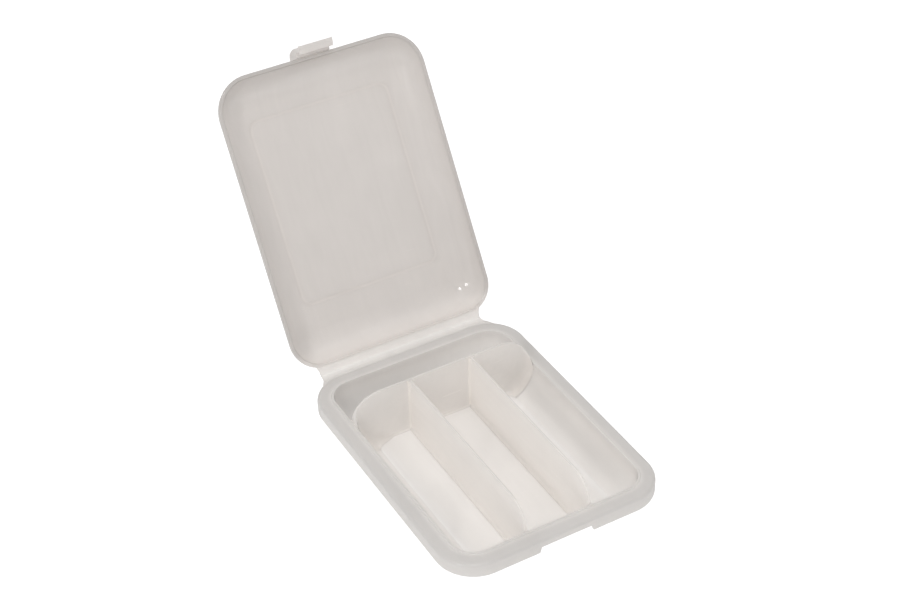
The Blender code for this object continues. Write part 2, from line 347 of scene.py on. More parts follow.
def round_corner(before, corner, after, radius, steps):
    """The arc that rounds one corner of a polyline, using under half of each side."""
    corner = Vector(corner)
    back = Vector(before) - corner
    ahead = Vector(after) - corner
    half = back.angle(ahead) / 2
    if radius <= 0 or half > NEARLY_STRAIGHT:
        return [tuple(corner)]
    trim = min(radius / math.tan(half), TRIM_SHARE * back.length, TRIM_SHARE * ahead.length)
    radius = trim * math.tan(half)
    start = corner + back.normalized() * trim
    end = corner + ahead.normalized() * trim
    centre = corner + (back.normalized() + ahead.normalized()).normalized() * (radius / math.sin(half))
    first = start - centre
    last = end - centre
    sweep = first.angle(last)
    points = []
    for step in range(steps + 1):
        share = step / steps
        spoke = (first * math.sin((1 - share) * sweep) + last * math.sin(share * sweep)) / math.sin(sweep)
        points.append(tuple(centre + spoke))
    return points


def rounded_path(corners, steps=5, cyclic=False):
    """Round a polyline.  Each corner is (x, z, radius)."""
    path = []
    count = len(corners)
    for index, (x, z, radius) in enumerate(corners):
        at_end = index in (0, count - 1)
        if radius == 0 or (at_end and not cyclic):
            path.append((x, z))
            continue
        before = corners[(index - 1) % count][:2]
        after = corners[(index + 1) % count][:2]
        path += round_corner(before, (x, z), after, radius, steps)
    return path


class Rim:
    """A rounded rectangle that can be drawn at any inset, always with the same stations.

    extra_front holds more places along the front side, where a notch needs them.
    """

    def __init__(self, half_x, half_y, front_radius, back_radius, centre_y=0.0, corner_steps=20,
                 spacing=6.0, extra_front=()):
        self.half_x = half_x
        self.half_y = half_y
        self.radii = (back_radius, back_radius, front_radius, front_radius)
        self.centre_y = centre_y
        self.corner_steps = corner_steps
        self.shares_y = self.even_shares(2 * half_y, spacing)
        self.shares_x = self.even_shares(2 * half_x, spacing)
        straight = half_x - front_radius
        extra = [(x + straight) / (2 * straight) for x in extra_front]
        self.shares_front = sorted(set(round(share, 6) for share in self.shares_x + extra))

    def even_shares(self, length, spacing):
        """Shares of a straight side, about one spacing apart."""
        pieces = max(2, round(length / spacing))
        return [step / pieces for step in range(pieces + 1)]

    def ring(self, inset, height):
        """Anticlockwise points, starting on the +X side."""
        half_x = self.half_x - inset
        half_y = self.half_y - inset
        radii = [max(radius - inset, SMALLEST_RADIUS) for radius in self.radii]
        signs = ((1, 1), (-1, 1), (-1, -1), (1, -1))
        centres = [Vector((sx * (half_x - r), sy * (half_y - r))) for (sx, sy), r in zip(signs, radii)]
        sides = (self.shares_y, self.shares_x, self.shares_y, self.shares_front)
        points = []
        for side, shares in enumerate(sides):
            before = (side - 1) % 4
            angle = math.radians(90.0 * side)
            spoke = Vector((math.cos(angle), math.sin(angle)))
            start = centres[before] + spoke * radii[before]
            end = centres[side] + spoke * radii[side]
            points += [start.lerp(end, share) for share in shares]
            for step in range(1, self.corner_steps):
                angle = math.radians(90.0 * (side + step / self.corner_steps))
                spoke = Vector((math.cos(angle), math.sin(angle)))
                points.append(centres[side] + spoke * radii[side])
        return [Vector((point.x, point.y + self.centre_y, height)) for point in points]


# ----------------------------------------
# Mesh building
# ----------------------------------------


def to_object(name, points, faces, material):
    """A smooth closed mesh object in metres, with its faces turned outwards."""
    mesh = bpy.data.meshes.new(name)
    mesh.from_pydata([Vector(point) * MM for point in points], [], faces)
    editor = bmesh.new()
    editor.from_mesh(mesh)
    bmesh.ops.remove_doubles(editor, verts=editor.verts, dist=MERGE_DISTANCE * MM)
    bmesh.ops.dissolve_degenerate(editor, edges=editor.edges, dist=MERGE_DISTANCE * MM)
    bmesh.ops.recalc_face_normals(editor, faces=editor.faces)
    editor.to_mesh(mesh)
    editor.free()
    mesh.validate()
    mesh.shade_smooth()
    mesh.materials.append(material)
    piece = bpy.data.objects.new(name, mesh)
    bpy.context.scene.collection.objects.link(piece)
    weighted = piece.modifiers.new("Weighted normals", "WEIGHTED_NORMAL")
    weighted.weight = 60
    weighted.keep_sharp = True
    return piece


def bridge(faces, first, second, count, cyclic=True):
    """Quads between two rings of points that start at the given indices."""
    for step in range(count if cyclic else count - 1):
        following = (step + 1) % count
        faces.append((first + step, first + following, second + following, second + step))


def skin(rings, count, closed=False):
    """Faces over rings of count points each, closed to a loop or with a face at each end."""
    faces = []
    for index in range(rings - 1):
        bridge(faces, index * count, (index + 1) * count, count)
    last = (rings - 1) * count
    if closed:
        bridge(faces, last, 0, count)
    else:
        faces.append(tuple(range(count))[::-1])
        faces.append(tuple(range(last, last + count)))
    return faces


def loft(name, rim, section, material, shape=None, closed=False, first_cap=(), last_cap=()):
    """Carry a section of (inset, height) around a rim.

    An open section is capped at both ends: a cap is a list of (share towards the middle,
    rise) for its rings.  shape moves each finished point, for notches and bows.
    """
    rings = [rim.ring(inset, height) for inset, height in section]
    if not closed:
        rings = cap(rings[0], first_cap, rim.centre_y)[::-1] + rings
        rings += cap(rings[-1], last_cap, rim.centre_y)
    points = []
    for ring in rings:
        points += [shape(point) if shape else point for point in ring]
    return to_object(name, points, skin(len(rings), len(rings[0]), closed), material)


CAP_REACH = 0.97


def cap(ring, steps, centre_y):
    """Rings that shrink a cap's edge towards its middle."""
    shrunk = []
    for share, rise in steps:
        middle = Vector((0.0, centre_y, ring[0].z))
        shrunk.append([point.lerp(middle, share) + Vector((0, 0, rise)) for point in ring])
    return shrunk


def even_cap(steps, rise=0.0):
    """Evenly spaced cap rings, all at one rise.  One small face fills the middle."""
    return [(CAP_REACH * (step + 1) / steps, rise) for step in range(steps)]


# ----------------------------------------
# Base tray
# ----------------------------------------


def tray_section():
    """From the floor, up the inner wall, over the rim and down the outside.

    The section is drawn as (x, z) and returned as (inset from the rim, z).
    """
    centre = LIP_REACH_X - WALL_RADIUS
    floor_angle = -math.degrees(math.asin(DEPTH / WALL_RADIUS))
    wall = arc((centre, LIP_TOP), (WALL_RADIUS, WALL_RADIUS), floor_angle, WALL_TOP_ANGLE, WALL_STEPS)
    lip_outside = LIP_REACH_X + LIP_WIDTH
    inner = [(wall[0][0] - FLOOR_EDGE, FLOOR_TOP, 0), (*wall[0], FLOOR_ROUND)]
    inner += [(x, z, 0) for x, z in wall[2:]]
    rim = [
        (LIP_REACH_X, LIP_TOP, LIP_ROUND),
        (lip_outside, LIP_TOP, LIP_ROUND),
        (lip_outside + LIP_LEAN, FLANGE_TOP, LIP_LEAN),
        (HALF_X, FLANGE_TOP, FLANGE_ROUND),
        (HALF_X, SKIRT_BOTTOM, SKIRT_ROUND),
        (HALF_X - WALL, SKIRT_BOTTOM, SKIRT_ROUND),
        (HALF_X - WALL, FLANGE_TOP - FLANGE_THICK, UNDER_FLANGE_ROUND),
    ]
    outer_radius = WALL_RADIUS + WALL
    under = -math.degrees(math.asin((LIP_STEP + FLANGE_THICK) / outer_radius))
    foot = -math.degrees(math.asin(LIP_TOP / outer_radius))
    outside = arc((centre, LIP_TOP), (outer_radius, outer_radius), under, foot, WALL_STEPS - 2)
    outer = [(*outside[0], WALL_TOP_ROUND)]
    outer += [(x, z, 0) for x, z in outside[1:-1]]
    foot_x = outside[-1][0]
    outer += [
        (foot_x, 0.0, HEEL_ROUND),
        (foot_x - HEEL_WIDTH, 0.0, 0),
    ]
    return [(HALF_X - x, z) for x, z in rounded_path(inner + rim + outer)]


def notch_lift(x):
    """How far the skirt's lower edge is raised at x along the front."""
    return NOTCH_HEIGHT * ease((NOTCH_HALF + NOTCH_EASE / 2 - abs(x)) / NOTCH_EASE)


def cut_notch(point):
    """Raise the skirt's lower edge along the front, inside the notch."""
    on_skirt = point.y < -HALF_Y + 2 * WALL and point.z < FLANGE_TOP
    if not on_skirt:
        return point
    share = (FLANGE_TOP - LIP_STEP - point.z) / (FLANGE_TOP - LIP_STEP - SKIRT_BOTTOM)
    share = min(1.0, max(0.0, share))
    return point + Vector((0, 0, notch_lift(point.x) * share))


def make_tray(material):
    """Floor, curved wall, lip, flange and skirt, with more stations at the notch's ends."""
    ends = []
    inner_end = NOTCH_HALF - NOTCH_EASE / 2 - NOTCH_MARGIN
    span = NOTCH_EASE + 2 * NOTCH_MARGIN
    for side in (-1, 1):
        for step in range(NOTCH_STEPS + 1):
            ends.append(side * (inner_end + span * step / NOTCH_STEPS))
    rim = Rim(HALF_X, HALF_Y, OUTER_RADIUS, OUTER_RADIUS, extra_front=ends)
    return loft("base_tray_moulding", rim, tray_section(), material, shape=cut_notch,
                first_cap=even_cap(FLOOR_RINGS),
                last_cap=UNDERSIDE_STEP + even_cap(FLOOR_RINGS, UNDERSIDE_RECESS))


# ----------------------------------------
# Uprights: the dividers and the partition
# ----------------------------------------


class Upright:
    """A plate that stands in the tray, along u, between two end conditions.

    A curved end follows the tray's wall up to the lip and then rounds over to the top
    edge.  A square end stops against a neighbour.
    """

    def __init__(self, start, end, start_curved, end_curved, end_round=END_ROUND, wall_fillet=0.0):
        self.start = start
        self.end = end
        self.curved = {-1: start_curved, 1: end_curved}
        self.end_round = end_round
        self.wall_fillet = wall_fillet

    def side(self, u):
        """-1 in the half towards the start, 1 in the half towards the end."""
        middle = (self.start + self.end) / 2
        return -1 if u < middle else 1

    def reach(self, side):
        """Where the plate ends on one side."""
        return self.start if side < 0 else self.end

    def into_end(self, u):
        """How far u lies past the centres of a curved end's wall arc and top round, or 0, 0."""
        side = self.side(u)
        if not self.curved[side] or u * side <= 0:
            return 0.0, 0.0
        short_of_end = abs(self.reach(side)) - abs(u)
        return max(0.0, WALL_RADIUS - short_of_end), max(0.0, self.end_round - short_of_end)

    def foot(self, u):
        """Height of the lower edge, just inside the floor or the wall."""
        low = FLOOR_TOP - BURY
        from_wall_centre, _ = self.into_end(u)
        if from_wall_centre <= 0:
            return low
        rise = WALL_RADIUS ** 2 - from_wall_centre ** 2
        return max(low, LIP_TOP - math.sqrt(max(0.0, rise)) - BURY)

    def top(self, u):
        """Height of the top edge, which rounds down to the lip at a curved end."""
        _, past_round = self.into_end(u)
        share = min(1.0, past_round / self.end_round)
        return LIP_TOP + DIVIDER_RISE * math.sqrt(1.0 - share * share)

    def to_junction(self, u, z):
        """Distance to the nearest surface that the plate grows out of."""
        from_wall_centre, _ = self.into_end(u)
        distances = [z - FLOOR_TOP]
        if from_wall_centre > 0 and z < LIP_TOP:
            distances.append(WALL_RADIUS - math.hypot(from_wall_centre, LIP_TOP - z))
        for end in (-1, 1):
            if not self.curved[end]:
                distances.append(abs(self.reach(end) - u))
        return max(0.0, min(distances))

    def to_top(self, u, z):
        """Distance to the top edge, near enough for its rounding."""
        _, past_round = self.into_end(u)
        if past_round <= 0:
            return max(0.0, UPRIGHT_TOP - z)
        spread = math.hypot(past_round / self.end_round, max(0.0, z - LIP_TOP) / DIVIDER_RISE)
        return max(0.0, (1.0 - spread) * DIVIDER_RISE)

    def wall_swell(self, u, z):
        """Extra thickness of the large fillet between the plate and the tray's wall."""
        from_wall_centre, _ = self.into_end(u)
        if not self.wall_fillet or from_wall_centre <= 0:
            return 0.0
        radius = self.wall_fillet * ease((UPRIGHT_TOP - z) / DIVIDER_RISE)
        near = WALL_RADIUS - math.hypot(from_wall_centre, min(0.0, z - LIP_TOP))
        if radius <= 0 or near >= radius:
            return 0.0
        return radius - math.sqrt(radius ** 2 - (radius - max(0.0, near)) ** 2)

    def half_thickness(self, u, z):
        """Half the plate's thickness: its draft, its foot fillet and its rounded top."""
        draft = lerp(FOOT_DRAFT, TOP_DRAFT, (z - FLOOR_TOP) / (UPRIGHT_TOP - FLOOR_TOP))
        half = UPRIGHT_THICK / 2 * draft
        near = self.to_junction(u, z)
        if near < FOOT_FILLET:
            half += FOOT_FILLET - math.sqrt(FOOT_FILLET ** 2 - (FOOT_FILLET - near) ** 2)
        edge = self.to_top(u, z)
        if edge < TOP_ROUND:
            half -= TOP_ROUND - math.sqrt(TOP_ROUND ** 2 - (TOP_ROUND - edge) ** 2)
        return half

    def stations(self):
        """Places along u, close together where the outline curves."""
        places = []
        for side in (-1, 1):
            reach = self.reach(side)
            if self.curved[side]:
                for step in range(1, END_STEPS + 1):
                    angle = math.radians(90.0 * step / END_STEPS)
                    places.append(reach - side * self.end_round * (1.0 - math.cos(angle)))
                # Just past the wall's foot, where the lower edge turns
                places.append(reach - side * (FLOOR_INSET + MERGE_DISTANCE))
            else:
                places += [reach - side * FOOT_FILLET * share for share in FOOT_SHARES[1:]]
                # A square end is buried a little in its neighbour
                places.append(reach + side * BURY)
        middle = (self.start + self.end) / 2
        gap_start = max(place for place in places if place < middle)
        gap_end = min(place for place in places if place > middle)
        steps = max(2, round((gap_end - gap_start) / STATION_SPACING))
        places += [lerp(gap_start, gap_end, step / steps) for step in range(1, steps)]
        return sorted(places)

    def heights(self, u):
        """Heights up one station, close together at the foot and at the top edge."""
        low = self.foot(u)
        high = self.top(u)
        span = high - low
        fillet = min(FOOT_FILLET, span * EDGE_SHARE)
        rounding = min(TOP_ROUND, span * EDGE_SHARE)
        heights = [low + fillet * share for share in FOOT_SHARES]
        middle_low = heights[-1]
        middle_high = high - rounding
        for step in range(1, HEIGHT_STEPS):
            heights.append(lerp(middle_low, middle_high, step / HEIGHT_STEPS))
        heights += [high - rounding * share for share in TOP_SHARES]
        return heights

    def build(self, name, place, material):
        """place turns (u, sideways, z) into a point of the frame."""
        places = self.stations()
        columns = [self.heights(u) for u in places]
        rows = len(columns[0])
        points = []
        for side in (-1, 1):
            for u, heights in zip(places, columns):
                for z in heights:
                    swell = self.wall_swell(u, z) if side < 0 else 0.0
                    points.append(Vector(place(u, side * (self.half_thickness(u, z) + swell), z)))
        half = len(points) // 2
        faces = []
        for column in range(len(places) - 1):
            first = column * rows
            second = first + rows
            bridge(faces, first, second, rows, cyclic=False)
            for start in range(rows - 1):
                a, b = half + first + start, half + second + start
                faces.append((a, b, b + 1, a + 1))
            faces.append((first, second, half + second, half + first))
            top = rows - 1
            faces.append((second + top, first + top, half + first + top, half + second + top))
        last = (len(places) - 1) * rows
        for start in range(rows - 1):
            faces.append((start + 1, start, half + start, half + start + 1))
            faces.append((last + start, last + start + 1, half + last + start + 1, half + last + start))
        return to_object(name, points, faces, material)


def make_divider(name, x, material):
    """A lengthwise plate from the front wall to the partition."""
    plate = Upright(-LIP_REACH_Y, PARTITION_Y, True, False)
    return plate.build(name, lambda u, aside, z: (x - aside, u, z), material)


def make_partition(material):
    """The crosswise plate in front of the rear compartment."""
    plate = Upright(-LIP_REACH_X, LIP_REACH_X, True, True, PARTITION_ROUND, CORNER_FILLET)
    middle = PARTITION_Y + UPRIGHT_THICK / 2
    return plate.build("partition_moulding", lambda u, aside, z: (u, middle + aside, z), material)


# ----------------------------------------
# Lid, modelled closed
# ----------------------------------------


def lid_curve():
    """Inset and height of the centre of the lid's side curve, and its outer radius."""
    lean = math.radians(LID_LEAN)
    radius = (LID_TOP - LID_SEAT - LID_BAND) / (1.0 - math.sin(lean))
    return radius * math.cos(lean), LID_TOP - radius, radius


def bow(x, y):
    """Height that the lid's flat panel is domed by."""
    inset = lid_curve()[0]
    across = max(0.0, 1.0 - (x / (LID_HALF_X - inset)) ** 2)
    along = max(0.0, 1.0 - ((y - LID_CENTRE_Y) / (LID_HALF_Y - inset)) ** 2)
    return PANEL_BOW * across * along


def dome(point):
    """Bow the panel, and leave the lid's sides as they are."""
    if point.z < CEILING - PANEL_MARGIN:
        return point
    return point + Vector((0, 0, bow(point.x, point.y)))


def lid_section():
    """From the ceiling, down the inside, round the rim's edge and up the outside."""
    inset, height, outer_radius = lid_curve()
    inner_radius = CEILING - height
    inner = arc((inset, height), (inner_radius, inner_radius), 90.0, 180.0 - LID_LEAN, LID_STEPS)
    outer = arc((inset, height), (outer_radius, outer_radius), 180.0 - LID_LEAN, 90.0, LID_STEPS)
    corners = [(x, z, 0) for x, z in inner]
    corners += [(inner[-1][0], LID_SEAT, LID_EDGE_ROUND), (0.0, LID_SEAT, LID_EDGE_ROUND)]
    corners += [(x, z, 0) for x, z in outer]
    return rounded_path(corners)


def make_lid(material):
    """The domed shell, closed."""
    rim = Rim(LID_HALF_X, LID_HALF_Y, LID_RADIUS, LID_BACK_RADIUS, centre_y=LID_CENTRE_Y)
    return loft("lid_moulding", rim, lid_section(), material, shape=dome,
                first_cap=even_cap(LID_RINGS), last_cap=even_cap(LID_RINGS))


def make_label_frame(material):
    """Soft raised frame on the outside of the lid's panel."""
    rim = Rim(FRAME_HALF_X, FRAME_HALF_Y, FRAME_RADIUS, FRAME_RADIUS, centre_y=FRAME_CENTRE_Y,
              corner_steps=10, spacing=4.0)
    top = LID_TOP + FRAME_HEIGHT
    root = LID_TOP - FRAME_BURY
    shoulder = (FRAME_WIDTH - FRAME_TOP_WIDTH) / 2
    corners = [(0.0, root, 0), (shoulder, top, FRAME_ROUND),
               (FRAME_WIDTH - shoulder, top, FRAME_ROUND), (FRAME_WIDTH, root, 0)]
    section = rounded_path(corners, steps=4)
    return loft("label_frame", rim, section, material, shape=dome, closed=True)


def open_lid_matrix():
    """Turns closed-lid coordinates into the open rest position, in metres."""
    pivot = FOLD * MM
    turn = Matrix.Rotation(-math.radians(OPEN_DEGREES), 4, "X")
    return Matrix.Translation(pivot) @ turn @ Matrix.Translation(-pivot)


# ----------------------------------------
# Living hinge
# ----------------------------------------


def around_fold(degrees):
    """(y, z) of a point on the web's bend."""
    angle = math.radians(degrees)
    return FOLD.y + FOLD_DROP * math.cos(angle), FOLD.z + FOLD_DROP * math.sin(angle)


def recede(x, straight, radius):
    """How far a rim's rounded corner has curved back at x."""
    past = min(radius, max(0.0, abs(x) - straight))
    return radius - math.sqrt(radius ** 2 - past ** 2)


def hinge_path(x):
    """Middle line of the web at rest at one place along it, as (y, z, thickness)."""
    base_edge = HALF_Y - recede(x, HALF_X - OUTER_RADIUS, OUTER_RADIUS) - WEB_ROOT_IN_RIM
    lid_edge = LID_BACK - recede(x, LID_HALF_X - LID_BACK_RADIUS, LID_BACK_RADIUS) - WEB_ROOT
    path = []
    for share, thick in BASE_LEAF:
        path.append((lerp(base_edge, FOLD.y - FOLD_FLAT, share), FOLD.z - FOLD_DROP, thick))
    for step in range(1, FOLD_STEPS):
        path.append((*around_fold(lerp(-90.0, FOLD_END, step / FOLD_STEPS)), FOLD_THICK))
    turn = open_lid_matrix()
    for share, thick in LID_LEAF:
        closed = Vector((0.0, lerp(FOLD.y - FOLD_FLAT, lid_edge, share), FOLD.z + FOLD_DROP)) * MM
        opened = (turn @ closed) / MM
        path.append((opened.y, opened.z, thick))
    return path


def flare(from_fold):
    """The web widens towards both rims, with a concave end."""
    share = min(1.0, from_fold / WEB_REACH)
    return WEB_FLARE * (1.0 - math.sqrt(1.0 - share * share))


def make_hinge_web(material):
    """One strip from the base's rim to the lid's rim, thinned at the fold."""
    count = len(hinge_path(0.0))
    points = []
    for column in range(WEB_COLUMNS):
        share = 2.0 * column / (WEB_COLUMNS - 1) - 1.0
        path = hinge_path(share * (LEAF_HALF_X + WEB_FLARE))
        for side in (-1, 1):
            for index, (y, z, thick) in enumerate(path):
                from_fold = math.hypot(y - FOLD.y, z - FOLD.z)
                x = share * (LEAF_HALF_X + flare(from_fold))
                before = path[max(0, index - 1)]
                after = path[min(count - 1, index + 1)]
                along = Vector((after[0] - before[0], after[1] - before[1])).normalized()
                out = Vector((-along.y, along.x)) * (side * thick / 2)
                points.append(Vector((x, y + out.x, z + out.y)))
    faces = []
    row = 2 * count
    for column in range(WEB_COLUMNS - 1):
        a = column * row
        b = a + row
        for step in range(count - 1):
            faces.append((a + step, b + step, b + step + 1, a + step + 1))
            faces.append((a + count + step, a + count + step + 1, b + count + step + 1, b + count + step))
        faces.append((a, a + count, b + count, b))
        faces.append((a + count - 1, b + count - 1, b + row - 1, a + row - 1))
    for column, flip in ((0, False), (WEB_COLUMNS - 1, True)):
        a = column * row
        for step in range(count - 1):
            quad = (a + step, a + step + 1, a + count + step + 1, a + count + step)
            faces.append(quad[::-1] if flip else quad)
    return to_object("hinge_web", points, faces, material)


# ----------------------------------------
# Latch tab, modelled closed
# ----------------------------------------


def latch_profile():
    """Outline of the tab across Y and Z: lid side, shelf, nib, out-turned lip, shoulder."""
    inset, height, lid_radius = lid_curve()
    inner_radius = lid_radius + TAB_GAP
    band_top = LID_SEAT + LID_BAND
    root_angle = 180.0 - math.degrees(math.asin((band_top + TAB_ROOT_RISE - height) / inner_radius))
    centre = (LID_FRONT + inset, height)
    inside = arc(centre, (inner_radius, inner_radius), root_angle, 180.0 - LID_LEAN, 5)
    shelf = FLANGE_TOP + TAB_SHELF_RISE
    face = -HALF_Y - TAB_GAP
    back = face - TAB_THICK
    nib_top = SKIRT_BOTTOM + NOTCH_HEIGHT - NIB_GAP
    nib_bottom = nib_top - NIB_HEIGHT
    lip = TAB_LIP_SHARE * TAB_THICK
    corners = [(*inside[0], TAB_ROUND)]
    corners += [(y, z, 0) for y, z in inside[1:-1]]
    corners += [
        (inside[-1][0], shelf, TAB_ROUND),
        (face, shelf, SHELF_ROUND),
        (face, nib_top, NIB_CORNER_ROUND),
        (face + NIB_REACH, nib_top, NIB_ROUND),
        (face + NIB_REACH, nib_top - 0.3 * NIB_HEIGHT, NIB_ROUND),
        (face, nib_bottom, NIB_FOOT_ROUND),
        (face - lip, nib_bottom - 0.2 * TAB_THICK, TAB_ROUND),
        (back - lip, nib_bottom - 0.25 * TAB_THICK, TAB_ROUND),
        (back - lip, nib_bottom + 0.2 * TAB_THICK, TAB_ROUND),
        (back, nib_bottom + 0.6 * TAB_THICK, TAB_HEEL_ROUND),
    ]
    root_y, root_z = inside[0]
    shoulder_centre = (root_y - 0.3 * TAB_THICK, shelf)
    shoulder_radii = (shoulder_centre[0] - back, root_z - shelf)
    shoulder = arc(shoulder_centre, shoulder_radii, 180.0, 90.0, 8)
    corners += [(y, z, 0) for y, z in shoulder[:-1]]
    corners += [(*shoulder[-1], TAB_ROUND)]
    return rounded_path(corners, steps=4, cyclic=True)


def make_latch(material):
    """The tab, with rounded ends and a root that spreads along the lid."""
    profile = latch_profile()
    shelf = FLANGE_TOP + TAB_SHELF_RISE
    root_rise = max(z for _, z in profile) - shelf
    ends = []
    for step in range(TAB_EDGE_STEPS + 1):
        angle = math.radians(90.0 * step / TAB_EDGE_STEPS)
        ends.append((TAB_HALF_X - TAB_EDGE * (1 - math.cos(angle)), TAB_EDGE * (1 - math.sin(angle))))
    stations = [(-x, shrink) for x, shrink in ends]
    for column in range(1, TAB_COLUMNS):
        stations.append((TAB_HALF_X * lerp(-1.0, 1.0, column / TAB_COLUMNS), 0.0))
    stations += ends[::-1]
    points = []
    for x, shrink in stations:
        for y, z in inward(profile, shrink):
            spread = TAB_ROOT_FLARE * ease((z - shelf) / root_rise) * x / TAB_HALF_X
            points.append(Vector((x + spread, y, z)))
    return to_object("latch_tab_moulding", points, skin(len(stations), len(profile)), material)


def inward(profile, distance):
    """The profile moved inwards, which rounds the tab's ends."""
    count = len(profile)
    moved = []
    for index in range(count):
        before = Vector(profile[index - 1])
        here = Vector(profile[index])
        after = Vector(profile[(index + 1) % count])
        along = (after - before).normalized()
        moved.append(here + Vector((-along.y, along.x)) * distance)
    return moved


# ----------------------------------------
# Materials: natural polypropylene, milky and a little see-through
# ----------------------------------------


class Graph:
    """Adds nodes to a material and joins them."""

    def __init__(self, name):
        self.material = bpy.data.materials.new(name)
        self.material.use_nodes = True
        self.tree = self.material.node_tree
        self.tree.nodes.clear()

    def node(self, kind, settings=None, inputs=None):
        """A new node.  An input is a value or another node's output."""
        node = self.tree.nodes.new(kind)
        for key, value in (settings or {}).items():
            setattr(node, key, value)
        for key, value in (inputs or {}).items():
            self.feed(node.inputs[key], value)
        return node

    def feed(self, socket, value):
        if isinstance(value, bpy.types.NodeSocket):
            self.tree.links.new(value, socket)
        else:
            socket.default_value = value

    def math(self, operation, first, second=0.0, third=0.0, clamp=False):
        settings = {"operation": operation, "use_clamp": clamp}
        return self.node("ShaderNodeMath", settings, {0: first, 1: second, 2: third}).outputs[0]

    def product(self, first, *others):
        """Two or more values multiplied."""
        for other in others:
            first = self.math("MULTIPLY", first, other)
        return first

    def shift_tone(self, mask, amount):
        """A factor that is 1 outside the mask and 1 + amount inside it."""
        return self.math("MULTIPLY_ADD", mask, amount, 1.0)

    def split(self, vector):
        """The X, Y and Z of a vector."""
        return self.node("ShaderNodeSeparateXYZ", None, {"Vector": vector}).outputs

    def vector(self, operation, first, second=(0.0, 0.0, 0.0)):
        settings = {"operation": operation}
        return self.node("ShaderNodeVectorMath", settings, {0: first, 1: second}).outputs[0]

    def remap(self, value, low, high, to_low=0.0, to_high=1.0):
        """Smooth step of value between low and high."""
        settings = {"interpolation_type": "SMOOTHSTEP"}
        inputs = {"Value": value, "From Min": low, "From Max": high, "To Min": to_low, "To Max": to_high}
        return self.node("ShaderNodeMapRange", settings, inputs).outputs["Result"]

    def stretch(self, place, scale, turn=0.0):
        """The same coordinates turned about Z and scaled, for drawn-out patterns."""
        inputs = {"Vector": place, "Rotation": (0.0, 0.0, math.radians(turn)), "Scale": scale}
        return self.node("ShaderNodeMapping", {"vector_type": "POINT"}, inputs).outputs[0]

    def noise(self, place, scale, detail=3.0, rough=0.5, distortion=0.0):
        """Soft noise around 0.5."""
        inputs = {"Vector": place, "Scale": scale, "Detail": detail, "Roughness": rough,
                  "Distortion": distortion}
        return self.node("ShaderNodeTexNoise", None, inputs).outputs["Fac"]

    def swing(self, noise, amount):
        """Noise around 0.5 turned into a factor around 1."""
        return self.math("MULTIPLY_ADD", noise, 2.0 * amount, 1.0 - amount)

    def bump(self, height, distance, below=None):
        """A normal from a height pattern, on top of another normal.  Distance is in mm."""
        inputs = {"Height": height, "Distance": distance * MM, "Strength": 1.0}
        if below is not None:
            inputs["Normal"] = below
        return self.node("ShaderNodeBump", None, inputs).outputs[0]

    def output(self, shader):
        self.node("ShaderNodeOutputMaterial", None, {"Surface": shader})
        return self.material


def place_in_mm(graph, on_lid):
    """Closed-box coordinates in millimetres, so that a pattern lies along its piece."""
    coordinates = graph.node("ShaderNodeTexCoord").outputs["Object"]
    turn = math.radians(OPEN_DEGREES) if on_lid else 0.0
    shift = FOLD - Matrix.Rotation(turn, 3, "X") @ FOLD
    inputs = {"Vector": coordinates, "Location": shift, "Rotation": (turn, 0.0, 0.0),
              "Scale": (1 / MM, 1 / MM, 1 / MM)}
    return graph.node("ShaderNodeMapping", {"vector_type": "POINT"}, inputs).outputs[0]


def outline_distance(graph, place, half_x, half_y, radius, centre_y=0.0):
    """Distance outside a rounded rectangle that is seen from above, negative inside it."""
    centred = graph.vector("SUBTRACT", place, (0.0, centre_y, 0.0))
    folded = graph.vector("ABSOLUTE", centred)
    past = graph.vector("SUBTRACT", folded, (half_x - radius, half_y - radius, 0.0))
    past_x, past_y, _ = graph.split(past)
    clipped = graph.vector("MAXIMUM", graph.vector("MULTIPLY", past, (1.0, 1.0, 0.0)))
    reach = graph.node("ShaderNodeVectorMath", {"operation": "LENGTH"}, {0: clipped}).outputs["Value"]
    inside = graph.math("MINIMUM", graph.math("MAXIMUM", past_x, past_y), 0.0)
    return graph.math("SUBTRACT", graph.math("ADD", reach, inside), radius)


def frame_lines(graph, place):
    """Factor for the soft lines where the raised label frame shows through the panel."""
    middle = FRAME_LINE_INSET
    distance = outline_distance(graph, place, FRAME_HALF_X - middle, FRAME_HALF_Y - middle,
                                FRAME_RADIUS, FRAME_CENTRE_Y)
    lines = graph.remap(graph.math("ABSOLUTE", distance), 0.0, FRAME_LINE_WIDTH, 1.0, 0.0)
    return graph.shift_tone(lines, FRAME_LINE_TONE)


def lid_painted_light_and_lines(graph, place):
    """Label frame lines, painted light in the cove at the hinge and painted shade along the rim's lower
    edge elsewhere.
    """
    _, y, z = graph.split(place)
    # Painted shade along the lid's lower edge, away from the hinge
    low = graph.remap(z, LID_SEAT + LID_GAP, LID_SEAT + LID_RIM_FADE, 1.0, 0.0)
    forward = graph.remap(y, LID_BACK - COVE_WIDTH - 1.0, LID_BACK - 2.0, 1.0, 0.0)
    edge = graph.shift_tone(graph.product(low, forward), -LID_RIM_PAINTED_SHADE)
    # Painted light in the cove by the hinge
    cove = graph.shift_tone(graph.remap(y, LID_BACK - COVE_WIDTH, LID_BACK - 1.0), COVE_PAINTED_LIGHT)
    return graph.product(edge, cove, frame_lines(graph, place))


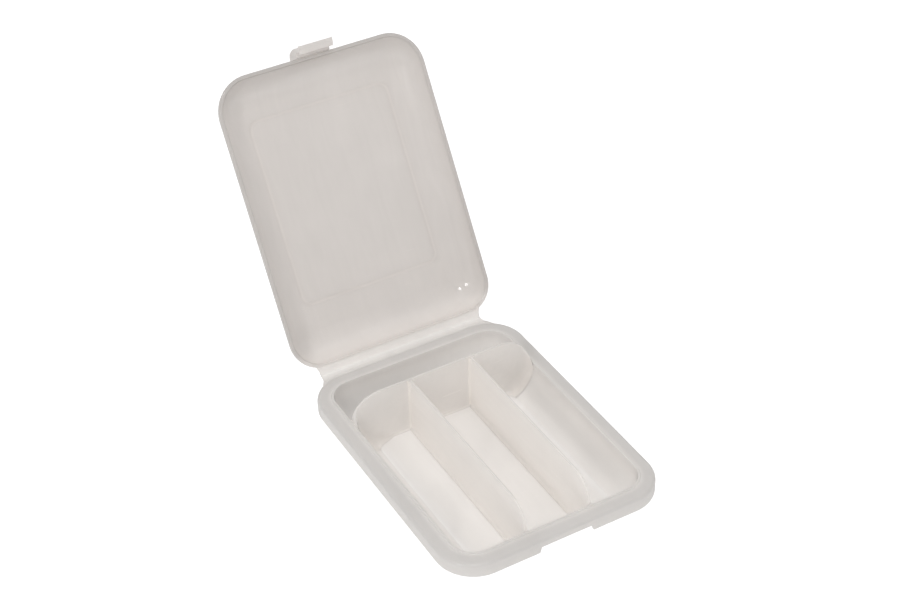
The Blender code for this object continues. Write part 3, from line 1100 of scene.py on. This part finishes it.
def base_painted_shade(graph, place):
    """Painted shade: a darker rim, where flange and skirt double, a darker wall, and darkest at the rear
    towards -X.
    """
    x, y, z = graph.split(place)
    distance = outline_distance(graph, place, LIP_REACH_X + LIP_WIDTH, LIP_REACH_Y + LIP_WIDTH,
                                OUTER_RADIUS - RIM_WIDTH + LIP_WIDTH)
    outside = graph.remap(distance, 0.0, RIM_WIDTH / 3)
    high = graph.remap(z, SKIRT_BOTTOM - SKIRT_FADE, SKIRT_BOTTOM)
    # Painted shade on the rim outside the lip, fading out below the skirt
    rim = graph.shift_tone(graph.product(outside, high), -RIM_PAINTED_SHADE)
    inside = graph.remap(distance, -1.0, -0.5, 1.0, 0.0)
    # Painted shade in the rear compartment, strongest towards -X
    back = graph.remap(y, *REAR_FADE_Y)
    left = graph.remap(x, *REAR_FADE_X, 1.0, 0.0)
    rear = graph.shift_tone(graph.product(back, left, inside), -REAR_PAINTED_SHADE)
    # Painted shade on the inside of the tray, from just above the floor up
    wall = graph.shift_tone(graph.product(graph.remap(z, *WALL_FADE), inside), -WALL_PAINTED_SHADE)
    return graph.product(rear, rim, wall)


def edge_painted_shade(graph, place):
    """Painted shade along a plate's top edge, seen down its depth, and in the corner at its foot."""
    height = graph.split(place)[2]
    near, far = EDGE_FADE
    top = graph.remap(height, UPRIGHT_TOP - far, UPRIGHT_TOP - near, 1.0, 1.0 - TOP_EDGE_PAINTED_SHADE)
    foot = graph.remap(height, FLOOR_TOP + near, FLOOR_TOP + far, 1.0 - FOOT_PAINTED_SHADE, 1.0)
    return graph.product(top, foot)


def scratches(graph, place):
    """A mask of fine, short, sparse scuffs that run in three directions."""
    total = None
    for turn, cut in SCUFF_RUNS:
        fine = graph.noise(graph.stretch(place, SCUFF_STRETCH, turn), *SCUFF_PATTERN)
        patch = graph.noise(place, *SCUFF_PATCHES)
        line = graph.product(graph.remap(fine, cut, cut + SCUFF_FADE), graph.remap(patch, *SCUFF_GATE))
        total = line if total is None else graph.math("MAXIMUM", total, line)
    return total


def polypropylene(name, tint, finish, on_lid=False, painted_light_and_marks=None):
    """Translucent plastic.  The given tone function paints the piece's light and shade, and on the lid the
    label frame's lines too.
    """
    milky, clear, roughness = finish
    graph = Graph(name)
    place = place_in_mm(graph, on_lid)

    # Colour: broad clouds, drawn-out flow marks, painted shade at glancing angles, and paler convex edges
    # that are partly wear and partly a painted highlight
    clouds = graph.noise(place, *CLOUD_PATTERN)
    flow = graph.noise(graph.stretch(place, FLOW_STRETCH), *FLOW_PATTERN)
    shade = graph.product(graph.swing(clouds, CLOUD_SWING), graph.swing(flow, FLOW_SWING))
    weight = graph.node("ShaderNodeLayerWeight", None, {"Blend": 0.5}).outputs["Facing"]
    glancing_painted_shade = graph.remap(weight, LIMB_START, 1.0, 0.0, LIMB_PAINTED_SHADE)
    shade = graph.product(shade, graph.math("SUBTRACT", 1.0, glancing_painted_shade))
    # Paler convex edges: partly stress whitening, partly a painted highlight
    pointiness = graph.node("ShaderNodeNewGeometry").outputs["Pointiness"]
    edge = graph.remap(pointiness, *EDGE_WEAR_AND_HIGHLIGHT_RANGE, 0.0, EDGE_WEAR_AND_HIGHLIGHT)
    shade = graph.product(shade, graph.math("ADD", 1.0, edge))
    # Painted light and shade of the piece, and on the lid the label frame's lines
    if painted_light_and_marks:
        shade = graph.product(shade, painted_light_and_marks(graph, place))
    colour = graph.vector("SCALE", tuple(tint))
    graph.feed(colour.node.inputs["Scale"], shade)

    # Surface: slow waviness of the moulding, fine grain and scuffs
    wave = graph.noise(place, *WAVE_PATTERN)
    grain = graph.noise(place, *GRAIN_PATTERN)
    scuff = scratches(graph, place)
    normal = graph.bump(wave, WAVE_HEIGHT)
    normal = graph.bump(grain, GRAIN_HEIGHT, normal)
    normal = graph.bump(graph.math("SUBTRACT", 1.0, scuff), SCUFF_DEPTH, normal)
    rough = graph.math("MULTIPLY_ADD", clouds, ROUGHNESS_SWING, roughness - ROUGHNESS_SWING / 2)
    rough = graph.math("MULTIPLY_ADD", grain, GRAIN_ROUGHNESS, rough)
    rough = graph.math("MULTIPLY_ADD", scuff, SCUFF_ROUGHNESS, rough, clamp=True)

    # Painted glow: an emission in tight corners, where two walls meet, stands in for light gathering there
    # so that they don't go dark
    open_sky = graph.node("ShaderNodeAmbientOcclusion", {"samples": 4}, {"Distance": CORNER_REACH * MM})
    corner_painted_glow = graph.math("MULTIPLY_ADD", open_sky.outputs["AO"], -CORNER_PAINTED_GLOW, CORNER_PAINTED_GLOW)

    solid = graph.node("ShaderNodeBsdfPrincipled", None, {
        "Emission Color": colour, "Emission Strength": corner_painted_glow,
        "Base Color": colour, "Roughness": rough, "IOR": REFRACTIVE_INDEX, "Normal": normal,
        "Specular IOR Level": 1.0,
    }).outputs[0]
    milk = graph.node("ShaderNodeBsdfTranslucent", None, {"Color": colour, "Normal": normal}).outputs[0]
    glass = graph.node("ShaderNodeBsdfTransparent", None, {"Color": colour}).outputs[0]
    body = graph.node("ShaderNodeMixShader", None, {0: milky, 1: solid, 2: milk}).outputs[0]
    face_on = graph.product(graph.math("SUBTRACT", 1.0, weight), clear)
    return graph.output(graph.node("ShaderNodeMixShader", None, {0: face_on, 1: body, 2: glass}).outputs[0])


def floor_paint(name):
    """Matt studio floor, part lit from within so that shadows stay faint."""
    graph = Graph(name)
    place = graph.node("ShaderNodeTexCoord").outputs["Object"]
    tone = graph.swing(graph.noise(place, 6.0), FLOOR_SWING)
    colour = graph.vector("SCALE", (FLOOR_ALBEDO, FLOOR_ALBEDO, FLOOR_ALBEDO))
    graph.feed(colour.node.inputs["Scale"], tone)
    paint = graph.node("ShaderNodeBsdfPrincipled", None, {
        "Base Color": colour, "Roughness": FLOOR_ROUGHNESS, "Specular IOR Level": FLOOR_SPECULAR,
        "Emission Color": (1.0, 1.0, 1.0, 1.0), "Emission Strength": FLOOR_GLOW,
    }).outputs[0]
    return graph.output(paint)


# ----------------------------------------
# Stage, light and camera
# ----------------------------------------


def make_camera():
    """A camera at the azimuth, elevation and roll of the view, aimed near the hinge."""
    back = Vector((
        math.sin(CAMERA_AZIMUTH) * math.cos(CAMERA_ELEVATION),
        -math.cos(CAMERA_AZIMUTH) * math.cos(CAMERA_ELEVATION),
        math.sin(CAMERA_ELEVATION),
    ))
    right = (-back).cross(Vector((0, 0, 1))).normalized()
    up = right.cross(-back)
    rolled_right = right * math.cos(CAMERA_ROLL) + up * math.sin(CAMERA_ROLL)
    rolled_up = up * math.cos(CAMERA_ROLL) - right * math.sin(CAMERA_ROLL)
    data = bpy.data.cameras.new("camera")
    data.lens = CAMERA_LENS
    camera = bpy.data.objects.new("camera", data)
    bpy.context.scene.collection.objects.link(camera)
    turn = Matrix((rolled_right, rolled_up, back)).transposed().to_4x4()
    camera.matrix_world = Matrix.Translation((CAMERA_AIM + back * CAMERA_DISTANCE) * MM) @ turn
    bpy.context.scene.camera = camera


def make_lamp(name, direction, size, power):
    """A round lamp that looks at the object from one direction.  Size is in metres."""
    data = bpy.data.lights.new(name, "AREA")
    data.shape = "DISK"
    data.size = size
    data.energy = power
    lamp = bpy.data.objects.new(name, data)
    bpy.context.scene.collection.objects.link(lamp)
    back = Vector(direction).normalized()
    place = (LAMP_AIM + back * LAMP_DISTANCE) * MM
    lamp.matrix_world = Matrix.Translation(place) @ back.to_track_quat("Z", "Y").to_matrix().to_4x4()


def make_stage():
    """White floor, white surroundings, a softbox overhead and two small lamps."""
    mesh = bpy.data.meshes.new("floor")
    corners = [(x * FLOOR_REACH, y * FLOOR_REACH, 0) for x, y in ((-1, -1), (1, -1), (1, 1), (-1, 1))]
    mesh.from_pydata(corners, [], [(0, 1, 2, 3)])
    floor = bpy.data.objects.new("floor", mesh)
    bpy.context.scene.collection.objects.link(floor)
    mesh.materials.append(floor_paint("floor_paint"))
    world = bpy.data.worlds.new("studio")
    world.use_nodes = True
    background = world.node_tree.nodes["Background"]
    background.inputs["Color"].default_value = (1.0, 1.0, 1.0, 1.0)
    background.inputs["Strength"].default_value = WORLD_STRENGTH
    bpy.context.scene.world = world
    bpy.context.scene.view_settings.view_transform = "Standard"
    make_lamp("softbox", SOFTBOX_DIRECTION, SOFTBOX_SIZE, SOFTBOX_POWER)
    for number, direction in enumerate(SPARK_DIRECTIONS, 1):
        make_lamp("small_lamp_%d" % number, direction, SPARK_SIZE, SPARK_POWER)


# ----------------------------------------
# Assembly
# ----------------------------------------


def add(piece, body, nodes):
    """Let a piece ride on a body and hide the CAD nodes that it stands for."""
    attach(piece, body)
    tell_kit(nodes)


def tell_kit(nodes):
    """Hide the CAD nodes that the piece stands for."""
    if nodes:
        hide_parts(*nodes)


def assemble():
    base = polypropylene("base_polypropylene", BASE_TINT, BASE_FINISH, painted_light_and_marks=base_painted_shade)
    divider = polypropylene("divider_polypropylene", DIVIDER_TINT_PAINTED_LIGHTER, DIVIDER_FINISH, painted_light_and_marks=edge_painted_shade)
    partition = polypropylene("partition_polypropylene", PARTITION_TINT_PAINTED_LIGHTER, PARTITION_FINISH)
    lid = polypropylene("lid_polypropylene", LID_TINT_PAINTED_DARKER, LID_FINISH, on_lid=True, painted_light_and_marks=lid_painted_light_and_lines)
    latch = polypropylene("latch_polypropylene", LATCH_TINT, LATCH_FINISH, on_lid=True)
    hinge = polypropylene("hinge_polypropylene", BASE_TINT, HINGE_FINISH)
    add(make_tray(base), "base", ["base_tray"])
    add(make_divider("left_divider_moulding", -LANE_PITCH / 2, divider), "base", ["left_divider"])
    add(make_divider("right_divider_moulding", LANE_PITCH / 2, divider), "base", ["right_divider"])
    add(make_partition(partition), "base", ["rear_partition"])
    opened = open_lid_matrix()
    lid_pieces = [
        (make_lid(lid), "lid", ["lid_shell"]),
        (make_label_frame(latch), "lid", []),
        (make_latch(latch), "latch", ["latch_tab"]),
    ]
    for piece, body, nodes in lid_pieces:
        piece.data.transform(opened)
        add(piece, body, nodes)
    web = make_hinge_web(hinge)
    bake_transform(web)
    tell_kit(["base_hinge_leaf", "lid_hinge_leaf"])


assemble()
make_stage()
make_camera()
